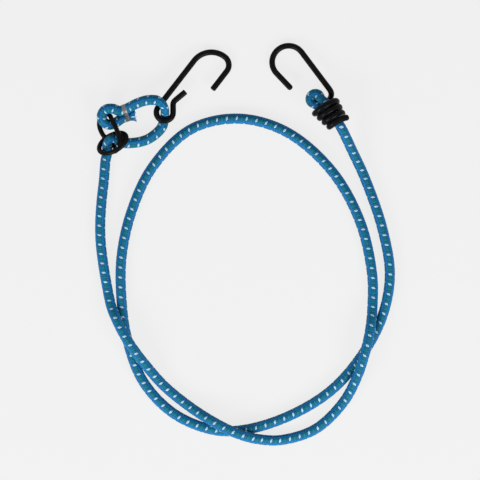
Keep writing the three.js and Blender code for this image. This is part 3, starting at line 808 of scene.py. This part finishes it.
# Spiral hook: the same coated wire, bent to a crook and wound down into a conical coil that bites
# the cord. The crook's tip and the coil's tail are rounded over.
COIL_GRIP = 0.8
COIL_SMALL = CORD_RADIUS + COIL_GRIP + HOOK_WIRE
COIL_TURNS = 3.72
COIL_FINENESS = 38
COIL_PITCH = 5.25
COIL_TAIL = 9.8
COIL_TAIL_BEND = np.array([0, -2, 0])
CROOK_WRAP = math.radians(186.5)
CROOK_LEG = 18.1
CROOK_STEP = 4.0
BEND_FINENESS = 12
ELBOW = 13.0
ELBOW_RISE = 4.0
ELBOW_TURN = 0.3
SEAM_FILL = 1.06
COIL_STEP = 0.7
SHORT_TURN = 0.05


def coil_spot(turn):
    angle = COIL_START - 2 * math.pi * turn
    radius = COIL_BIG + (COIL_SMALL - COIL_BIG) * turn / COIL_TURNS
    rise = ELBOW_RISE * max(0, 1 - turn / ELBOW_TURN) ** 2
    return np.array([radius * math.cos(angle), rise - COIL_PITCH * turn, radius * math.sin(angle)])


crook_x = SHANK_X - CROOK_RADIUS
lip = (
    crook_x + CROOK_RADIUS * math.cos(CROOK_WRAP) - CROOK_LEG * math.sin(CROOK_WRAP),
    CROOK_SHANK + CROOK_RADIUS * math.sin(CROOK_WRAP) + CROOK_LEG * math.cos(CROOK_WRAP),
)
crook = [lip] + arc((crook_x, CROOK_SHANK), CROOK_RADIUS, CROOK_WRAP, 0) + [(SHANK_X, ELBOW)]
bends = [(x, y, SHANK_Z) for x, y in evenly(np.array(crook), CROOK_STEP)]
bends += [coil_spot(turn) for turn in np.linspace(0, COIL_TURNS, COIL_FINENESS)]
leaving = coil_spot(COIL_TURNS) - coil_spot(COIL_TURNS - SHORT_TURN)
leaving /= np.linalg.norm(leaving)
bends.append(coil_spot(COIL_TURNS) + leaving * COIL_TAIL / 2 + COIL_TAIL_BEND / 4)
bends.append(coil_spot(COIL_TURNS) + leaving * COIL_TAIL + COIL_TAIL_BEND)
wound, _ = bent_through(bends, BEND_FINENESS)
wound = wire_line(wound, COIL_STEP, HOOK_WIRE)
rings = wire_rings(wound, HOOK_WIRE, WIRE_SIDES, start="round", finish="round")
# The coating fills the seams between the coil's turns
filled = 1 + (SEAM_FILL - 1) * smoothstep(-wound[:, 1], 0, COIL_PITCH)
rings[..., 1] = wound[:, 1:2] + (rings[..., 1] - wound[:, 1:2]) * filled[:, None]
rings = placed(rings.reshape(-1, 3), spiral_place).reshape(rings.shape)
spiral_hook = new_mesh_piece(
    "coated_spiral_hook", rings.reshape(-1, 3), ring_faces(len(rings), WIRE_SIDES), coating
)
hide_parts("spiral_hook")
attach(spiral_hook, "spiral")

# Adjuster: a 4 mm wire bent to an oval ring with a bail, welded where they meet and then dipped.
# The cord is threaded through the ring, and the cord's small eye holds the bail.
ADJUSTER_WIRE = 2.0
FLOOR_CLEARANCE = 0.1
RING_CENTRE = np.array([-91, -33.2, 9.7])
RING_LONG = np.array([0.864, 0.339, 0.372])
RING_SHORT = np.array([0.028, -0.769, 0.638])
RING_HALF_LENGTH = 12.9
RING_HALF_WIDTH = 9.3
RING_STEP_DEGREES = 3
HIGH_FOOT, LOW_FOOT = 59, 81
LAP_START = -28
LAP_INSET, LAP_RISE = 3.0, 1.4
LAP_POINTS = 7
BAIL_FINENESS, LAP_FINENESS = 16, 8
BAIL_STEP = 0.6
SLIM_SIDES = 24
DIP_GRAIN = 0.3
BAIL = [
    (-85.2, -32.3, 15), (-86.3, -25.8, 14.6), (-89.2, -19.1, 13.6), (-91.9, -13.6, 10.8), (-93.2, -11, 6.4),
    (-95.5, -9.7, 2.2), (-98.6, -10.6, 0.2), (-101.4, -13.6, 0), (-102.1, -18.1, 0), (-100.7, -23.4, 0),
    (-97.9, -28, 0), (-94.6, -31, 0), (-90.9, -34.1, 0.1), (-89.2, -37.3, 1.4), (-88.8, -39.4, 5.6),
    (-88.7, -39.9, 10.2),
]


def ring_spot(degrees, inset=0, rise=0):
    turn = math.radians(degrees)
    long = RING_LONG * (RING_HALF_LENGTH - inset) * math.cos(turn)
    short = RING_SHORT * (RING_HALF_WIDTH - inset) * math.sin(turn)
    return RING_CENTRE + long + short + np.cross(RING_SHORT, RING_LONG) * rise


oval = np.array([ring_spot(degrees) for degrees in range(0, 360, RING_STEP_DEGREES)])
bail_rest = ADJUSTER_WIRE + FLOOR_CLEARANCE
bail_bends = [ring_spot(HIGH_FOOT), *((x, y, z + bail_rest) for x, y, z in BAIL), ring_spot(LOW_FOOT)]
bail, _ = bent_through(bail_bends, BAIL_FINENESS)
bail = evenly(bail, BAIL_STEP)
bail[:, 2] = np.maximum(bail[:, 2], bail_rest)
lap_turns = np.linspace(LAP_START, HIGH_FOOT, LAP_POINTS)
lap, _ = bent_through([ring_spot(degrees, LAP_INSET, LAP_RISE) for degrees in lap_turns], LAP_FINENESS)
oval_rings = wire_rings(oval, ADJUSTER_WIRE, SLIM_SIDES, closed=True)
bail_rings = wire_rings(bail, ADJUSTER_WIRE, SLIM_SIDES)
lap_rings = wire_rings(lap, ADJUSTER_WIRE, SLIM_SIDES)
spots = np.concatenate([oval_rings, bail_rings, lap_rings]).reshape(-1, 3)
faces = ring_faces(len(oval_rings), SLIM_SIDES, closed=True)
faces += ring_faces(len(bail_rings), SLIM_SIDES, first=len(oval_rings) * SLIM_SIDES)
faces += ring_faces(len(lap_rings), SLIM_SIDES, first=(len(oval_rings) + len(bail_rings)) * SLIM_SIDES)
adjuster = new_mesh_piece("coated_adjuster", spots, faces, coating)
dip = adjuster.modifiers.new("dipped_weld", "REMESH")
dip.mode = "VOXEL"
dip.voxel_size = DIP_GRAIN * MM
dip.use_smooth_shade = True
settle = adjuster.modifiers.new("dipped_skin", "SMOOTH")
settle.factor = 0.5
settle.iterations = 5
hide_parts("adjuster")
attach(adjuster, "adjuster")

# Crimp: a strip of bright steel bent round both strands of the cord's eye and pressed shut, with
# its two ends almost meeting on top.
CRIMP_WIDTH = 3.6
CRIMP_STRIP = 1.1
CRIMP_PINCH = 0.76
CRIMP_CLEARANCE = 0.35
CRIMP_INNER = CORD_RADIUS * CRIMP_PINCH + CRIMP_CLEARANCE
CRIMP_SLIT = 0.8
CRIMP_POINTS = (2, 11)
CRIMP_EDGE = 0.25
EDGE_POINTS = 5
CRIMP_STEP = 0.4
CRIMP_TURN = 0.12
STEEL = (0.3, 0.303, 0.307, 1)
STEEL_DULL = (0.06, 0.061, 0.063, 1)

steel, tree, shader = new_material("pressed_steel")
coords = add_node(tree, "ShaderNodeTexCoord")
grain_place = add_node(
    tree, "ShaderNodeMapping", ("Vector", coords.outputs["Object"]), ("Scale", (900.0, 900.0, 4000.0))
)
brushed = add_node(
    tree, "ShaderNodeTexNoise", ("Vector", grain_place.outputs[0]), ("Scale", 1.0), ("Detail", 3.0)
)
pressed = blend_colours(tree, brushed.outputs["Fac"], STEEL, STEEL_DULL)
tree.links.new(pressed, shader.inputs["Base Color"])
worn = add_node(
    tree, "ShaderNodeMapRange", ("Value", brushed.outputs["Fac"]), ("To Min", 0.3), ("To Max", 0.5)
)
tree.links.new(worn.outputs[0], shader.inputs["Roughness"])
lines = add_node(
    tree, "ShaderNodeBump", ("Strength", 0.2), ("Distance", 0.0001), ("Height", brushed.outputs["Fac"])
)
tree.links.new(lines.outputs["Normal"], shader.inputs["Normal"])
shader.inputs["Metallic"].default_value = 1.0

low, high = (np.array(route_points[k]) for k in CRIMP_POINTS)
across = high - low
low_ahead, high_ahead = (
    np.array(route_points[k + 1]) - np.array(route_points[k - 1]) for k in CRIMP_POINTS
)
beside = np.cross(high_ahead - low_ahead, across)
beside /= np.linalg.norm(beside)
spread = np.linalg.norm(across) / 2
across /= 2 * spread
axis = np.cross(across, beside)
middle = CRIMP_INNER + CRIMP_STRIP / 2
bend = [(CRIMP_SLIT / 2, middle)] + arc((spread, 0), middle, math.pi / 2, -math.pi / 2, CRIMP_TURN)
bend += arc((-spread, 0), middle, -math.pi / 2, -3 * math.pi / 2, CRIMP_TURN) + [(-CRIMP_SLIT / 2, middle)]
strip = evenly(np.array(bend), CRIMP_STEP)
facing = np.gradient(strip, axis=0)
facing /= np.linalg.norm(facing, axis=1)[:, None]
facing = np.stack([-facing[:, 1], facing[:, 0]], 1)
half_width, half_strip = CRIMP_WIDTH / 2, CRIMP_STRIP / 2
section = []
for sign_w, sign_s, first in ((1, 1, 0), (-1, 1, 90), (-1, -1, 180), (1, -1, 270)):
    for turn in np.radians(np.linspace(first, first + 90, EDGE_POINTS)):
        section.append(
            (
                sign_w * (half_width - CRIMP_EDGE) + CRIMP_EDGE * math.cos(turn),
                sign_s * (half_strip - CRIMP_EDGE) + CRIMP_EDGE * math.sin(turn),
            )
        )
spots = []
for (x, y), (nx, ny) in zip(strip, facing):
    for wide, thick in section:
        spots.append(
            (low + high) / 2 + across * (x + nx * thick) + beside * (y + ny * thick) + axis * wide
        )
crimp = new_mesh_piece("pressed_crimp", spots, ring_faces(len(strip), len(section)), steel)
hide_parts("crimp")
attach(crimp, "adjuster")
